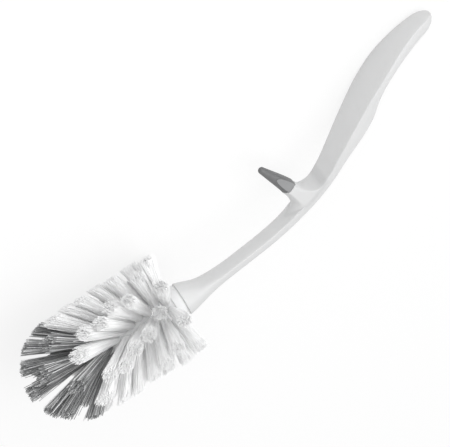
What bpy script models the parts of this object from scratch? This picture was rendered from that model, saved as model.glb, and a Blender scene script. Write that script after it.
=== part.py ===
"""Bottle brush: a one-piece moulded handle with a capped spur, and a tufted head on a tapered core.

The pieces are modelled in the brush's own frame. Its origin is the middle of the seam between
head and handle, +X runs along the head's axis towards the grip, and +Z is the side that the spur
stands on. An empty then lays the brush on its side, as it rests on a table, with the bottom
centre of its bounding box at the world's origin.
"""
from math import cos, hypot, pi, radians, sin, sqrt

import bmesh
import bpy
from mathutils import Matrix, Vector

# Gap that is left between pieces that touch
clearance = 0.0003

# Handle: how far it reaches from the seam, how far it rises to the spur's side, and its sections
handle_reach = 0.1920
handle_rise = 0.0793
bell_diameter = 0.0196
stem_width = 0.0102
stem_back_depth = 0.0056
grip_width = 0.0234
grip_back_depth = 0.0134
front_crown = 0.0012
grip_end_round = 0.009
socket_depth = 0.0085

# Spur: a flat web on the stem's front, with a round peg that carries the cap
spur_lean = radians(26.5)
spur_web_height = 0.0126
spur_web_thickness = 0.0060
spur_neck_width = 0.0073
spur_head_fillet = 0.0122
spur_grip_fillet = 0.0090
spur_root_width = 0.0124
spur_root_sink = 0.0015
peg_root_diameter = 0.0040
peg_tip_diameter = 0.0026
peg_length = 0.018
cap_length = 0.0250
cap_base_diameter = 0.0080
cap_tip_diameter = 0.0040

# Core of the head: a shoulder against the bell, a spigot in the bell and a mandrel for the slices
spigot_diameter = 0.009
spigot_length = 0.0079
shoulder_diameter = 0.0188
shoulder_length = 0.0054
shoulder_round = 0.0006
mandrel_diameter = 0.0046
mandrel_tail = 0.0025
core_root_diameter = 0.0166
core_tip_diameter = 0.0104
slice_pitch = 0.0056
nose_length = 0.0044
nose_front_diameter = 0.0052

# Bristles: the outline that their tips lie on, and the tufts
tip_side_start = 0.0055
tip_side_end = 0.062
tip_nose_length = 0.037
tip_diameter = 0.063
tuft_root_diameter = 0.0040
nose_tuft_root_diameter = 0.0026
white_tip_spread = 0.0060
grey_tip_spread = 0.0082
white_strand_width = 0.0024
grey_strand_width = 0.0024

# Places along the handle's widest line, as shares of its reach and rise, and how far its section
# has grown from stem to grip in width and in depth behind that line, how much of the bell's flare
# it keeps, and how far it has turned from round to flat in front
handle_station_shares = (
    (0.000, 0.000, 0.00, 0.00, 1.00, 0.00),
    (0.020, -0.002, 0.00, 0.00, 0.87, 0.03),
    (0.042, -0.002, 0.00, 0.00, 0.59, 0.10),
    (0.063, 0.000, 0.00, 0.00, 0.35, 0.30),
    (0.089, 0.008, 0.00, 0.00, 0.18, 0.60),
    (0.125, 0.018, 0.00, 0.00, 0.05, 0.90),
    (0.162, 0.028, 0.00, 0.00, 0.00, 1.00),
    (0.232, 0.050, 0.00, 0.00, 0.00, 1.00),
    (0.302, 0.076, 0.00, 0.01, 0.00, 1.00),
    (0.362, 0.110, 0.03, 0.03, 0.00, 1.00),
    (0.409, 0.152, 0.12, 0.07, 0.00, 1.00),
    (0.466, 0.213, 0.29, 0.12, 0.00, 1.00),
    (0.530, 0.307, 0.47, 0.19, 0.00, 1.00),
    (0.579, 0.407, 0.58, 0.36, 0.00, 1.00),
    (0.628, 0.513, 0.74, 0.68, 0.00, 0.95),
    (0.681, 0.625, 0.86, 0.84, 0.00, 0.90),
    (0.727, 0.717, 0.95, 0.50, 0.00, 0.95),
    (0.774, 0.796, 1.00, 0.22, 0.00, 1.00),
    (0.815, 0.859, 0.93, 0.22, 0.00, 1.00),
    (0.861, 0.918, 0.70, 0.29, 0.00, 1.00),
    (0.910, 0.967, 0.43, 0.34, 0.00, 1.00),
    (0.961, 1.000, 0.17, 0.30, 0.00, 1.00),
    (1.000, 1.000, 0.02, 0.20, 0.00, 1.00),
)
spur_foot_share = 0.456
end_size_share = 0.30
spur_head_power = 1.5
spur_grip_power = 2.5
spur_nose_power = 0.75
spur_corner_power = 0.36
cap_taper_power = 1.7
nose_bluntness = 0.90
nose_arc_share = 1.11
strand_root_share = 0.80

# Rings of tufts from the bell to the nose: how many tufts, how far the first one is turned from
# the spur's side in degrees, and where their tips lie, as a share of the side of the outline up
# to 1 and of the nose's quarter ellipse from 1 to 2
white_rings = ((8, 23, 0.02), (8, 43, 0.19), (8, 28, 0.39), (7, 38, 0.56), (7, 27, 0.73), (7, 28, 0.91),
               (6, 20, 1.08))
grey_rings = ((6, 52, 1.24), (5, 34, 1.46))
nose_tufts = 6
nose_turn = 12
nose_tip_share = 1.68

section_points = 28
steps_between_stations = 2
spur_web_steps = 7
round_steps = 28
strands_per_tuft = 6


def make_material(name, colour, roughness):
    """A plain plastic finish."""
    material = bpy.data.materials.new(name)
    material.use_nodes = True
    shader = material.node_tree.nodes["Principled BSDF"]
    shader.inputs["Base Color"].default_value = (*colour, 1)
    shader.inputs["Roughness"].default_value = roughness
    shader.inputs["Metallic"].default_value = 0
    material.diffuse_color = (*colour, 1)
    return material


def make_object(name, mesh_data, material=None, smooth_angle=None):
    """Puts a bmesh into a named object, faces outwards."""
    bmesh.ops.recalc_face_normals(mesh_data, faces=mesh_data.faces[:])
    mesh = bpy.data.meshes.new(name)
    mesh_data.to_mesh(mesh)
    mesh_data.free()
    if smooth_angle is not None:
        mesh.shade_smooth()
        mesh.set_sharp_from_angle(angle=smooth_angle)
    piece = bpy.data.objects.new(name, mesh)
    bpy.context.scene.collection.objects.link(piece)
    if material is not None:
        mesh.materials.append(material)
    return piece


def combine(piece, tool, operation):
    """Applies a Boolean to the piece's mesh and removes the tool."""
    modifier = piece.modifiers.new(operation.lower(), "BOOLEAN")
    modifier.operation = operation
    modifier.solver = "EXACT"
    modifier.object = tool
    bpy.context.view_layer.update()
    depsgraph = bpy.context.evaluated_depsgraph_get()
    result = bpy.data.meshes.new_from_object(piece.evaluated_get(depsgraph))
    piece.modifiers.clear()
    piece.data = result
    bpy.data.objects.remove(tool)


def smooth_rows(rows, steps):
    """Carries a Catmull-Rom curve through rows of any number of columns."""
    padded = [rows[0], *rows, rows[-1]]
    result = []
    for before, start, end, after in zip(padded, padded[1:], padded[2:], padded[3:]):
        for step in range(steps):
            t = step / steps
            weights = (
                (-t + 2 * t ** 2 - t ** 3) / 2,
                (2 - 5 * t ** 2 + 3 * t ** 3) / 2,
                (t + 4 * t ** 2 - 3 * t ** 3) / 2,
                (t ** 3 - t ** 2) / 2,
            )
            columns = zip(before, start, end, after)
            result.append([sum(w * value for w, value in zip(weights, column)) for column in columns])
    result.append(list(rows[-1]))
    return result


def turned(profile, steps=round_steps):
    """Turns a profile of (place along +Z, radius) points into one closed skin; radius 0 is a pole."""
    skin = bmesh.new()
    loops = []
    for place, radius in profile:
        if radius == 0:
            loops.append([skin.verts.new((0, 0, place))])
            continue
        angles = [2 * pi * step / steps for step in range(steps)]
        loops.append([skin.verts.new((radius * cos(a), radius * sin(a), place)) for a in angles])
    for lower, upper in zip(loops, loops[1:]):
        for step in range(steps):
            following = (step + 1) % steps
            if len(lower) == 1:
                skin.faces.new((lower[0], upper[following], upper[step]))
            elif len(upper) == 1:
                skin.faces.new((lower[step], lower[following], upper[0]))
            else:
                skin.faces.new((lower[step], lower[following], upper[following], upper[step]))
    return skin


def along_head_axis():
    """Stands a piece that is turned about +Z on the head's axis, with its +Z towards the tip."""
    return Matrix(((0, 0, -1, 0), (0, 1, 0, 0), (1, 0, 0, 0), (0, 0, 0, 1)))


def handle_stations():
    """The widest line and section sizes of the handle, from the bell to the end of the grip."""
    bell = bell_diameter / 2
    stations = []
    for reach, rise, wide, deep, flare, flat in smooth_rows(handle_station_shares, steps_between_stations):
        half = (stem_width + (grip_width - stem_width) * wide) / 2
        half += (bell - stem_width / 2) * flare
        front = front_crown + (bell - front_crown) * flare
        back = stem_back_depth + (grip_back_depth - stem_back_depth) * deep
        back += (bell - stem_back_depth) * flare
        stations.append((Vector((handle_reach * reach, 0, handle_rise * rise)), half, front, back, flat))
    return stations


def end_rounding(distance):
    """How much of its size a section keeps at this distance from the end of the grip."""
    if distance >= grip_end_round:
        return 1
    part = distance / grip_end_round
    return max(end_size_share, sqrt(1 - (1 - part) ** 2))


def handle_section(middle, direction, half, front, back, flat):
    """A section that is round at the bell, and flat in front and half round behind further on."""
    front_normal = Vector((-direction.z, 0, direction.x))
    front_power = 2 / (2 + 1.6 * flat)
    back_power = 2 / (2 + 0.4 * flat)
    points = []
    for step in range(section_points):
        angle = 2 * pi * step / section_points
        power, reach = (front_power, front) if sin(angle) > 0 else (back_power, -back)
        side = abs(cos(angle)) ** power
        side = side if cos(angle) > 0 else -side
        height = reach * abs(sin(angle)) ** power
        points.append(middle + front_normal * height + Vector((0, side * half, 0)))
    return points


def make_handle(material):
    """Grip, stem, spur and bell, moulded as one piece, with the socket for the head's spigot."""
    stations = handle_stations()
    end = stations[-1][0]
    skin = bmesh.new()
    loops = []
    for index, (middle, half, front, back, flat) in enumerate(stations):
        if index == 0:
            direction = Vector((1, 0, 0))
        else:
            following = stations[min(index + 1, len(stations) - 1)][0]
            direction = (following - stations[index - 1][0]).normalized()
        kept = end_rounding((end - middle).length)
        section = handle_section(middle, direction, half * kept, front * kept, back * kept, flat)
        loops.append([skin.verts.new(point) for point in section])
    for lower, upper in zip(loops, loops[1:]):
        for step in range(section_points):
            following = (step + 1) % section_points
            skin.faces.new((lower[step], lower[following], upper[following], upper[step]))
    skin.faces.new(loops[0])
    skin.faces.new(loops[-1])
    handle = make_object("handle", skin)

    combine(handle, make_spur_web(), "UNION")
    combine(handle, make_peg(), "UNION")
    overrun = clearance
    socket_radius = spigot_diameter / 2 + clearance
    socket = make_object("socket", turned(((-overrun, 0), (-overrun, socket_radius),
                                           (socket_depth, socket_radius), (socket_depth, 0))))
    socket.data.transform(Matrix.Rotation(radians(90), 4, "Y"))
    combine(handle, socket, "DIFFERENCE")
    handle.data.materials.clear()
    handle.data.materials.append(material)
    handle.data.shade_smooth()
    handle.data.set_sharp_from_angle(angle=radians(35))
    return handle


def spur_frame():
    """The spur's own frame: X across it towards the grip, Y sideways, Z along it towards its tip."""
    shares = smooth_rows(handle_station_shares, steps_between_stations)
    after = next(index for index, row in enumerate(shares) if row[0] >= spur_foot_share)
    low, high = shares[after - 1], shares[after]
    part = (spur_foot_share - low[0]) / (high[0] - low[0])
    foot_rise_share = low[1] + (high[1] - low[1]) * part
    foot = Vector((handle_reach * spur_foot_share, 0, handle_rise * foot_rise_share))
    turn = Matrix.Rotation(-spur_lean, 4, "Y")
    return Matrix.Translation(foot) @ turn


def fillet_share(part, power):
    """How much of a fillet's width is left at this share of its height: all at 0, none at 1."""
    return 1 - (1 - (1 - part) ** power) ** (1 / power)


def make_spur_web():
    """The web: as wide as the handle at its root, with a fillet on each side up to the cap's base.

    Its sides are flat. It is square towards the grip, and rounded like a bow towards the head.
    """
    neck = spur_neck_width / 2
    loops = []
    web = bmesh.new()
    for step in range(-1, spur_web_steps + 1):
        part = max(step, 0) / spur_web_steps
        height = spur_web_height * part if step >= 0 else -spur_root_sink
        grip_side = neck + spur_grip_fillet * fillet_share(part, spur_grip_power)
        head_side = neck + spur_head_fillet * fillet_share(part, spur_head_power)
        half = (spur_web_thickness + (spur_root_width - spur_web_thickness) * (1 - part)) / 2
        loop = []
        for corner in range(section_points):
            angle = 2 * pi * (corner + 0.5) / section_points
            if cos(angle) > 0:
                across = abs(cos(angle)) ** spur_corner_power * grip_side
            else:
                across = -abs(cos(angle)) ** spur_nose_power * head_side
            sideways = abs(sin(angle)) ** spur_corner_power * (half if sin(angle) > 0 else -half)
            loop.append(web.verts.new((across, sideways, height)))
        loops.append(loop)
    for lower, upper in zip(loops, loops[1:]):
        bridge(web, lower, upper)
    web.faces.new(loops[0])
    web.faces.new(loops[-1])
    bmesh.ops.transform(web, matrix=spur_frame(), verts=web.verts[:])
    return make_object("spur_web", web)


def make_peg():
    """The tapered round peg inside the cap."""
    start = spur_web_height / 2
    end = spur_web_height + peg_length
    peg = turned(((start, 0), (start, peg_root_diameter / 2), (spur_web_height, peg_root_diameter / 2),
                  (end, peg_tip_diameter / 2), (end, 0)))
    bmesh.ops.transform(peg, matrix=spur_frame(), verts=peg.verts[:])
    return make_object("spur_peg", peg)


def make_spur_cap(material):
    """A soft tapered cap over the peg, round, with its sides cut flush with the web."""
    base = spur_web_height + clearance
    tip = spur_web_height + cap_length
    tip_radius = cap_tip_diameter / 2
    profile = [(base, peg_root_diameter / 2 + clearance)]
    for step in range(6):
        part = step / 6
        radius = cap_base_diameter / 2 - (cap_base_diameter / 2 - tip_radius) * part ** cap_taper_power
        profile.append((base + (cap_length - clearance - tip_radius) * part, radius))
    for step in range(7):
        angle = radians(90) * step / 6
        radius = tip_radius * cos(angle) if step < 6 else 0
        profile.append((tip - tip_radius + tip_radius * sin(angle), radius))
    hollow_end = spur_web_height + peg_length + clearance
    hollow = [(hollow_end, 0), (hollow_end, peg_tip_diameter / 2 + clearance)]
    skin = turned(hollow + profile)
    cap = make_object("spur_cap", skin)
    for side in (-1, 1):
        cutter = bmesh.new()
        bmesh.ops.create_cube(cutter, size=1)
        size = Vector((cap_base_diameter * 2, cap_base_diameter, cap_length * 2))
        place = Vector((0, side * (spur_web_thickness + cap_base_diameter) / 2, base + cap_length / 2))
        bmesh.ops.scale(cutter, vec=size, verts=cutter.verts[:])
        bmesh.ops.translate(cutter, vec=place, verts=cutter.verts[:])
        combine(cap, make_object("cap_side_cutter", cutter), "DIFFERENCE")
    cap.data.transform(spur_frame())
    cap.data.materials.clear()
    cap.data.materials.append(material)
    cap.data.shade_smooth()
    cap.data.set_sharp_from_angle(angle=radians(30))
    return cap


def make_core(material):
    """The core's own piece: spigot in the bell, shoulder against it and mandrel through the slices."""
    slices = len(white_rings) + len(grey_rings)
    spigot = spigot_diameter / 2
    shoulder = shoulder_diameter / 2
    mandrel = mandrel_diameter / 2
    end = shoulder_length + slices * slice_pitch + mandrel_tail
    profile = (
        (-spigot_length, 0), (-spigot_length, spigot - shoulder_round),
        (-spigot_length + shoulder_round, spigot), (clearance, spigot),
        (clearance, shoulder - shoulder_round), (clearance + shoulder_round, shoulder),
        (shoulder_length - shoulder_round, shoulder), (shoulder_length, shoulder - shoulder_round),
        (shoulder_length, mandrel), (end, mandrel), (end, 0),
    )
    core = make_object("brush_core", turned(profile), material, radians(35))
    core.data.transform(along_head_axis())
    return core


def core_radius(place):
    """The radius of the tapered core at a place forward of the seam."""
    slices = len(white_rings) + len(grey_rings)
    part = (place - shoulder_length) / (slices * slice_pitch)
    return (core_root_diameter + (core_tip_diameter - core_root_diameter) * part) / 2


def tip_outline(share):
    """A point (place, radius) of the outline that the bristle tips lie on."""
    radius = tip_diameter / 2
    if share <= 1:
        return tip_side_start + (tip_side_end - tip_side_start) * share, radius
    angle = radians(90) * (share - 1)
    forward = tip_nose_length * sin(angle) ** nose_bluntness
    return tip_side_end + forward, radius * cos(angle) ** nose_bluntness


def ring_point(place, radius, angle):
    """A point of the head, from its place forward of the seam, radius and angle round the axis."""
    return Vector((-place, radius * sin(angle), radius * cos(angle)))


def add_tuft(skin, frame, surface_point, root_radius, tip_point, tip_spread, strand_width):
    """Grows six separate three-sided strands from a patch inside a frame of vertices of the skin.

    surface_point and tip_point turn offsets forward and round the axis into points. The strands
    keep their order from root to tip and only spread, so none of them crosses another.
    """
    angles = [2 * pi * corner / strands_per_tuft for corner in range(strands_per_tuft)]
    corners = [skin.verts.new(surface_point(root_radius * cos(a), root_radius * sin(a))) for a in angles]
    middle = skin.verts.new(surface_point(0, 0))
    per_side = len(frame) // strands_per_tuft
    for index in range(strands_per_tuft):
        this, following = corners[index], corners[(index + 1) % strands_per_tuft]
        border = [frame[(index * per_side + step) % len(frame)] for step in range(per_side + 1)]
        skin.faces.new((this, border[0], border[1]))
        for left, right in zip(border[1:], border[2:]):
            skin.faces.new((following, left, right))
        skin.faces.new((this, border[1], following))

        centre = (middle.co + this.co + following.co) / 3
        roots = [skin.verts.new(centre.lerp(v.co, strand_root_share)) for v in (middle, this, following)]
        direction = angles[index] + pi / strands_per_tuft
        spread = (tip_spread - strand_width) / 2
        tips = []
        for turn in (pi, -pi / 3, pi / 3):
            forward = spread * cos(direction) + strand_width / 2 * cos(direction + turn)
            around = spread * sin(direction) + strand_width / 2 * sin(direction + turn)
            tips.append(skin.verts.new(tip_point(forward, around)))
        patch = (middle, this, following)
        for step in range(3):
            after = (step + 1) % 3
            skin.faces.new((patch[step], patch[after], roots[after], roots[step]))
            skin.faces.new((roots[step], roots[after], tips[after], tips[step]))
        skin.faces.new(tips)


def slice_corners(skin, place, radius, count, phase):
    """A circle of vertices, two for each tuft of the ring."""
    angles = [phase + pi * (step - 1) / count for step in range(2 * count)]
    return [skin.verts.new(ring_point(place, radius, angle)) for angle in angles]


def bridge(skin, first, second):
    """Joins two circles of vertices with four-sided faces."""
    for step in range(len(first)):
        following = (step + 1) % len(first)
        skin.faces.new((first[step], first[following], second[following], second[step]))


def add_ring_of_tufts(skin, rear, front, places, radii, count, phase, root_diameter, tip_share, finish):
    """Fills the band between two circles with one tuft for each pair of its vertices."""
    tip_spread, strand_width = finish
    place = (places[0] + places[1]) / 2
    radius = (radii[0] + radii[1]) / 2
    slant = hypot(places[1] - places[0], radii[1] - radii[0])
    forward_x = (places[1] - places[0]) / slant
    forward_r = (radii[1] - radii[0]) / slant
    tip_place, tip_radius = tip_outline(tip_share)
    side_length = tip_side_end - tip_side_start
    arc_length = hypot(tip_diameter / 2, tip_nose_length) * nose_arc_share
    for index in range(count):
        angle = phase + 2 * pi * index / count

        def surface_point(forward, around, angle=angle):
            return ring_point(place + forward * forward_x, radius + forward * forward_r,
                              angle + around / radius)

        def tip_point(forward, around, angle=angle):
            share = tip_share + forward / (side_length if tip_share <= 1 else arc_length)
            if tip_share <= 1 and share > 1:
                share = 1 + (share - 1) * side_length / arc_length
            tip_x, tip_r = tip_outline(share)
            return ring_point(tip_x, tip_r, angle + around / tip_radius)

        left, middle, right = (2 * index, 2 * index + 1, (2 * index + 2) % (2 * count))
        frame = (front[middle], front[right], rear[right], rear[middle], rear[left], front[left])
        add_tuft(skin, frame, surface_point, root_diameter / 2, tip_point, tip_spread, strand_width)


def make_ring(name, index, ring, finish, material):
    """One slice of the core, bored for the mandrel, with its ring of tufts."""
    count, turn, tip_share = ring
    start = shoulder_length + index * slice_pitch + clearance
    end = start + slice_pitch - clearance
    phase = radians(turn)
    skin = bmesh.new()
    radii = (core_radius(start), core_radius(end))
    rear = slice_corners(skin, start, radii[0], count, phase)
    front = slice_corners(skin, end, radii[1], count, phase)
    bore = mandrel_diameter / 2 + clearance
    bore_rear = slice_corners(skin, start, bore, count, phase)
    bore_front = slice_corners(skin, end, bore, count, phase)
    bridge(skin, rear, bore_rear)
    bridge(skin, bore_rear, bore_front)
    bridge(skin, bore_front, front)
    add_ring_of_tufts(skin, rear, front, (start, end), radii, count, phase, tuft_root_diameter,
                      tip_share, finish)
    return make_object(name, skin, material)


def make_nose(material):
    """The core's nose: a blind bore for the mandrel, a ring of tufts and one tuft straight ahead."""
    index = len(white_rings) + len(grey_rings)
    finish = (grey_tip_spread, grey_strand_width)
    start = shoulder_length + index * slice_pitch + clearance
    end = start + nose_length
    skin = bmesh.new()
    radii = (core_radius(start), nose_front_diameter / 2)
    phase = radians(nose_turn)
    rear = slice_corners(skin, start, radii[0], nose_tufts, phase)
    front = slice_corners(skin, end, radii[1], nose_tufts, phase)
    bore = mandrel_diameter / 2 + clearance
    bore_rear = slice_corners(skin, start, bore, nose_tufts, phase)
    bore_end = slice_corners(skin, start + mandrel_tail + clearance, bore, nose_tufts, phase)
    bridge(skin, rear, bore_rear)
    bridge(skin, bore_rear, bore_end)
    skin.faces.new(bore_end)
    add_ring_of_tufts(skin, rear, front, (start, end), radii, nose_tufts, phase,
                      nose_tuft_root_diameter, nose_tip_share, finish)

    def front_point(forward, around):
        return Vector((-end, around, forward))

    def tip_point(forward, around):
        return Vector((-tip_side_end - tip_nose_length, around, forward))

    add_tuft(skin, front, front_point, nose_tuft_root_diameter / 2, tip_point, *finish)
    return make_object("grey_nose_tufts", skin, material)


def lay_down(pieces):
    """Lays the brush on its side, on the head's rear edge and the widest part of the grip.

    The bottom centre of its bounding box goes to the world's origin.
    """
    rest = bpy.data.objects.new("brush_at_rest", None)
    bpy.context.scene.collection.objects.link(rest)
    for piece in pieces:
        piece.parent = rest
    grip_middle, grip_half, *_ = max(handle_stations(), key=lambda station: station[1])
    chord = grip_middle + Vector((tip_side_start, 0, 0))
    drop = (tip_diameter / 2 - grip_half) / chord.length
    down = chord.normalized() * drop + Vector((0, sqrt(1 - drop ** 2), 0))
    along = (Vector((1, 0, 0)) - down * down.x).normalized()
    turn = Matrix((along, along.cross(down), -down)).to_4x4()
    corners = [turn @ vertex.co for piece in pieces for vertex in piece.data.vertices]
    low = Vector([min(point[axis] for point in corners) for axis in range(3)])
    high = Vector([max(point[axis] for point in corners) for axis in range(3)])
    middle = (low + high) / 2
    rest.matrix_world = Matrix.Translation((-middle.x, -middle.y, -low.z)) @ turn


def main():
    for leftover in list(bpy.data.objects):
        bpy.data.objects.remove(leftover)
    white_plastic = make_material("white_plastic", (0.80, 0.81, 0.81), 0.38)
    grey_soft = make_material("grey_soft_cap", (0.17, 0.17, 0.17), 0.55)
    core_plastic = make_material("white_core_plastic", (0.78, 0.79, 0.79), 0.42)
    white_bristle = make_material("white_bristle", (0.74, 0.75, 0.75), 0.45)
    grey_bristle = make_material("grey_bristle", (0.19, 0.19, 0.20), 0.5)

    pieces = [make_handle(white_plastic), make_spur_cap(grey_soft), make_core(core_plastic)]
    index = 0
    for number, ring in enumerate(white_rings, 1):
        finish = (white_tip_spread, white_strand_width)
        pieces.append(make_ring(f"white_tufts_{number}", index, ring, finish, white_bristle))
        index += 1
    for number, ring in enumerate(grey_rings, 1):
        finish = (grey_tip_spread, grey_strand_width)
        pieces.append(make_ring(f"grey_tufts_{number}", index, ring, finish, grey_bristle))
        index += 1
    pieces.append(make_nose(grey_bristle))
    lay_down(pieces)


main()
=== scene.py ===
import bmesh
import bpy
import numpy as np
from mathutils import Matrix, Vector


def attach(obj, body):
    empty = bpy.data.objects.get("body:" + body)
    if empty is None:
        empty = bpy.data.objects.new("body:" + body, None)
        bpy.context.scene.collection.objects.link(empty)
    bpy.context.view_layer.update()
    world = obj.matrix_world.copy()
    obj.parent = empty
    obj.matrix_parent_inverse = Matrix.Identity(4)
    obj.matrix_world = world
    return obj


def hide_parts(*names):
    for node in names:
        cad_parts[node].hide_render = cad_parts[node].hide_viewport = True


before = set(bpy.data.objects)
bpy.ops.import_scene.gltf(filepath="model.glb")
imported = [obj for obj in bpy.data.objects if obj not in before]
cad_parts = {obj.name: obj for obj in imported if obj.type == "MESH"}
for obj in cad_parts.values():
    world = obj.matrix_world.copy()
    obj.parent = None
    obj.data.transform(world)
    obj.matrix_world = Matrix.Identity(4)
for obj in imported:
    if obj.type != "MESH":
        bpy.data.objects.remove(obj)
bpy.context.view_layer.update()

print("frame loaded:", len(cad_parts), "nodes")

# The shapes are worked out in the brush's own axes: origin in the middle of the seam between head
# and handle, X along the head's axis to the grip, Z to the side that the spur stands on. As it lies
# at rest, the brush is rolled about X onto its side and pitched about Y, and the seam has moved.
restPose = {
    "roll": np.radians(-92.59871),
    "pitch": np.radians(6.31661),
    "seam": (-0.0459137, -0.0244993, 0.0314444),
}
rollTurn = Matrix.Rotation(restPose["roll"], 3, "X")
pitchTurn = Matrix.Rotation(restPose["pitch"], 3, "Y")
restTurn = np.array(pitchTurn @ rollTurn)
restSeam = np.array(restPose["seam"])


def ringFaces(rows, columns, firstPole, lastPole):
    # four-sided faces between neighbouring rings, and a fan of triangles from each pole
    row = np.arange(rows - 1)[:, None] * columns
    column = np.arange(columns)[None, :]
    following = (column + 1) % columns
    quads = np.stack([row + column, row + following, row + columns + following, row + columns + column], -1)
    column, following = column[0], following[0]
    last = (rows - 1) * columns
    firstFan = np.stack([np.full(columns, firstPole), following, column], -1)
    lastFan = np.stack([np.full(columns, lastPole), last + column, last + following], -1)
    return quads.reshape(-1, 4).tolist() + firstFan.tolist() + lastFan.tolist()


def closedSkin(rings):
    # a stack of rings (rows, columns, 3) closed at both ends by a pole in the middle of the end ring
    rows, columns, _ = rings.shape
    poles = np.stack([rings[0].mean(axis=0), rings[-1].mean(axis=0)])
    points = np.concatenate([rings.reshape(-1, 3), poles])
    return points, ringFaces(rows, columns, rows * columns, rows * columns + 1)


def joinSkins(skins):
    # several closed skins in one list of points and faces
    points, faces, offset = [], [], 0
    for skinPoints, skinFaces in skins:
        points.append(skinPoints)
        faces += [[corner + offset for corner in face] for face in skinFaces]
        offset += len(skinPoints)
    return np.concatenate(points), faces


def putPiece(name, points, faces, material, slot, replaced, sharpAngle=40, attributes=None):
    # turns the points into the imported frame, makes the object, hangs it on the root body and hides the
    # frame's nodes that it replaces
    mesh = bpy.data.meshes.new(name)
    mesh.from_pydata((points @ restTurn.T + restSeam).tolist(), [], faces)
    skin = bmesh.new()
    skin.from_mesh(mesh)
    bmesh.ops.recalc_face_normals(skin, faces=skin.faces[:])
    skin.to_mesh(mesh)
    skin.free()
    for attributeName, values in (attributes or {}).items():
        attribute = mesh.attributes.new(attributeName, "FLOAT", "POINT")
        attribute.data.foreach_set("value", np.asarray(values, dtype=np.float32))
    mesh.shade_smooth()
    mesh.set_sharp_from_angle(angle=np.radians(sharpAngle))
    mesh.materials.append(material)
    piece = bpy.data.objects.new(name, mesh)
    bpy.context.scene.collection.objects.link(piece)
    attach(piece, "root")
    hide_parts(*replaced)
    print("made", name, len(mesh.polygons), "faces")


# Materials

noiseDetail = {"cloud": 4, "gloss": 6, "grain": 3, "streak": 2}
depthShares = (1.0, 0.95, 0.9)  # of the depth scale, how far red, green and blue light sink in


def startMaterial(name):
    # a new material with its nodes, its links and the shader that it starts with
    material = bpy.data.materials.new(name)
    material.use_nodes = True
    nodes = material.node_tree.nodes
    links = material.node_tree.links
    return material, nodes, links, nodes["Principled BSDF"]


def noiseOver(scale, detail, nodes, links):
    # a noise that lies still on the piece, with features about 1 / scale metres across
    place = nodes.new("ShaderNodeTexCoord")
    noise = nodes.new("ShaderNodeTexNoise")
    noise.inputs["Scale"].default_value = scale
    noise.inputs["Detail"].default_value = detail
    links.new(place.outputs["Object"], noise.inputs["Vector"])
    return noise.outputs["Fac"]


def pieceValue(name, nodes):
    # a value that each point of the piece carries
    value = nodes.new("ShaderNodeAttribute")
    value.attribute_name = name
    return value.outputs["Fac"]


def timesColour(first, second, nodes, links):
    # one colour times the other
    product = nodes.new("ShaderNodeMix")
    product.data_type = "RGBA"
    product.blend_type = "MULTIPLY"
    product.inputs["Factor"].default_value = 1.0
    links.new(first, product.inputs["A"])
    links.new(second, product.inputs["B"])
    return product.outputs["Result"]


def spreadRoughness(noise, span, nodes, links, shader):
    # gloss that changes with a noise, between two values of roughness
    roughness = nodes.new("ShaderNodeMapRange")
    roughness.inputs["To Min"].default_value = span[0]
    roughness.inputs["To Max"].default_value = span[1]
    links.new(noise, roughness.inputs["Value"])
    links.new(roughness.outputs["Result"], shader.inputs["Roughness"])


def mouldedPlastic(name, look):
    # cloudy tone from a broad noise, gloss from a middle one, and a fine grain as bump
    material, nodes, links, shader = startMaterial(name)
    tone = nodes.new("ShaderNodeMix")
    tone.data_type = "RGBA"
    tone.inputs["A"].default_value = (*look["dark"], 1)
    tone.inputs["B"].default_value = (*look["light"], 1)
    links.new(noiseOver(look["cloudScale"], noiseDetail["cloud"], nodes, links), tone.inputs["Factor"])
    colour = tone.outputs["Result"]
    # on the cap: a painted highlight on the facets and painted shade in the step around them
    if "facetLightAndShade" in look:
        colour = timesColour(colour, paintedFacetLight(look, nodes, links), nodes, links)
    links.new(colour, shader.inputs["Base Color"])
    gloss = noiseOver(look["glossScale"], noiseDetail["gloss"], nodes, links)
    spreadRoughness(gloss, look["roughness"], nodes, links, shader)
    bump = nodes.new("ShaderNodeBump")
    bump.inputs["Strength"].default_value = look["bumpStrength"]
    bump.inputs["Distance"].default_value = look["bumpDepth"]
    links.new(noiseOver(look["grainScale"], noiseDetail["grain"], nodes, links), bump.inputs["Height"])
    links.new(bump.outputs["Normal"], shader.inputs["Normal"])
    shader.inputs["IOR"].default_value = look["ior"]
    shader.inputs["Subsurface Weight"].default_value = look["depth"]
    shader.inputs["Subsurface Radius"].default_value = depthShares
    shader.inputs["Subsurface Scale"].default_value = look["depthScale"]
    return material


def paintedFacetLight(look, nodes, links):
    # a factor for the tone, giving lit and shaded copies of the cap's grey: a painted highlight where a
    # facet is pressed in, painted shade in the small step around it, and a middle tone on the round body
    level = nodes.new("ShaderNodeValToRGB")
    ramp = level.color_ramp.elements
    outside, step, facet = [(tone, tone, tone, 1) for tone in look["facetLightAndShade"]]
    ramp[0].position, ramp[1].position = look["facetPlaces"][0], look["facetPlaces"][2]
    ramp[0].color, ramp[1].color = outside, facet
    ramp.new(look["facetPlaces"][1]).color = step
    links.new(pieceValue("facet", nodes), level.inputs["Fac"])
    return level.outputs["Color"]


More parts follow.
